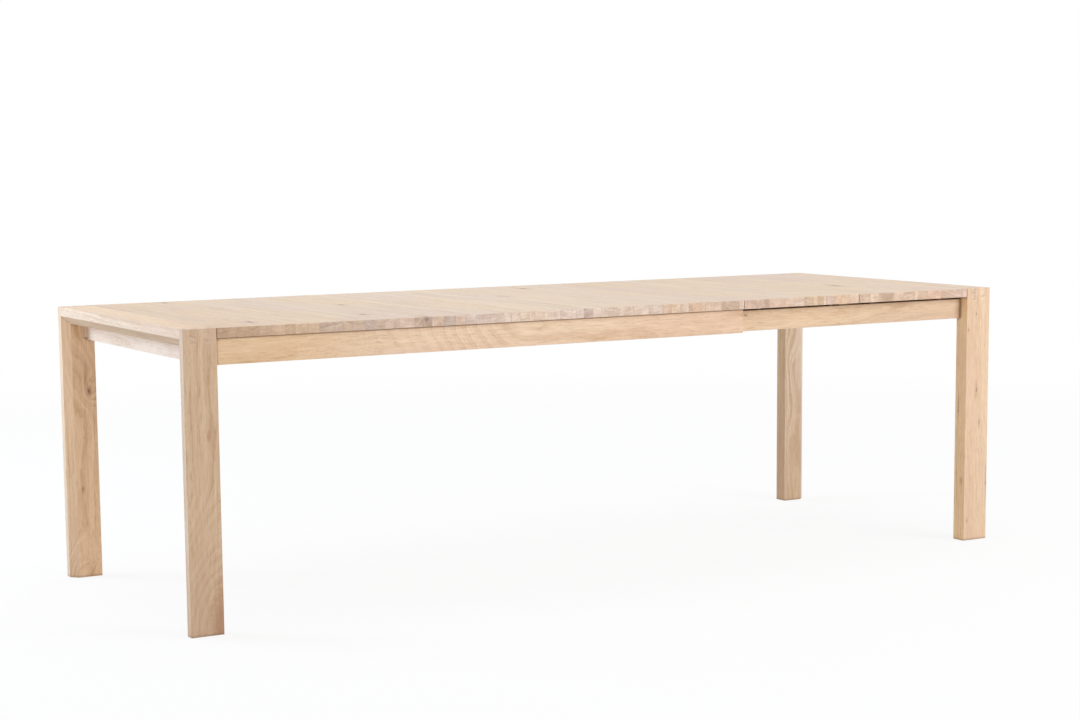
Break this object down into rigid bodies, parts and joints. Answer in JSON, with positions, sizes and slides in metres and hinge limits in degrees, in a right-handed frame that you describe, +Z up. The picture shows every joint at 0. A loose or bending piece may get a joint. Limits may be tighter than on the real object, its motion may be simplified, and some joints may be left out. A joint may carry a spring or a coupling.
{
  "type": "extendable dining table",
  "caption": "Long rectangular oak dining table drawn out with its loose leaves in place: plank top between two finger-jointed, bevelled end frames, sliding rails under the leaves.",
  "frame": {"origin": "on the floor, under the middle of the table as drawn out", "axes": "+X along the table to the end that pulls out, +Y to the back long side, +Z up"},
  "size_m": [2.52, 0.93, 0.75],
  "materials": {
    "oiled_oak": "satin",
    "beech": "matte",
    "zinc_steel": "satin",
    "nylon": "matte"
  },
  "bodies": {
    "fixed_table": {"left_front_leg": "oiled_oak", "left_back_leg": "oiled_oak", "left_cross_rail": "oiled_oak", "left_end_apron": "oiled_oak", "left_glue_blocks": "oiled_oak", "left_glides": "nylon", "fixed_top": "oiled_oak", "top_dowels": "beech", "front_apron": "oiled_oak", "back_apron": "oiled_oak", "apron_screws": "zinc_steel", "apron_wear_strips": "nylon", "front_guide_rail": "beech", "back_guide_rail": "beech", "front_tongue": "beech", "back_tongue": "beech", "top_bearer_1": "beech", "top_bearer_2": "beech", "top_bearer_3": "beech", "top_bearer_4": "beech", "bearer_screws": "zinc_steel", "left_corner_blocks": "beech", "left_corner_screws": "zinc_steel"},
    "pull_out_end": {"right_front_leg": "oiled_oak", "right_back_leg": "oiled_oak", "right_cross_rail": "oiled_oak", "right_end_apron": "oiled_oak", "right_glue_blocks": "oiled_oak", "right_glides": "nylon", "front_sliding_rail": "oiled_oak", "back_sliding_rail": "oiled_oak", "slider_wear_strips": "nylon", "slider_tie": "beech", "tie_screws": "zinc_steel", "right_corner_blocks": "beech", "right_corner_screws": "zinc_steel"},
    "inner_leaf": {"inner_leaf_panel": "oiled_oak", "inner_leaf_battens": "beech", "inner_leaf_pegs": "beech", "inner_leaf_screws": "zinc_steel"},
    "outer_leaf": {"outer_leaf_panel": "oiled_oak", "outer_leaf_battens": "beech", "outer_leaf_pegs": "beech", "outer_leaf_screws": "zinc_steel"}
  },
  "joints": [
    {"name": "end_slide", "type": "slide", "parent": "fixed_table", "child": "pull_out_end", "axis": [1, 0, 0], "range_m": [0, 0.04]},
    {"name": "inner_leaf_lift", "type": "slide", "parent": "pull_out_end", "child": "inner_leaf", "axis": [0, 0, 1], "range_m": [0, 0.15]},
    {"name": "outer_leaf_lift", "type": "slide", "parent": "pull_out_end", "child": "outer_leaf", "axis": [0, 0, 1], "range_m": [0, 0.15]}
  ]
}
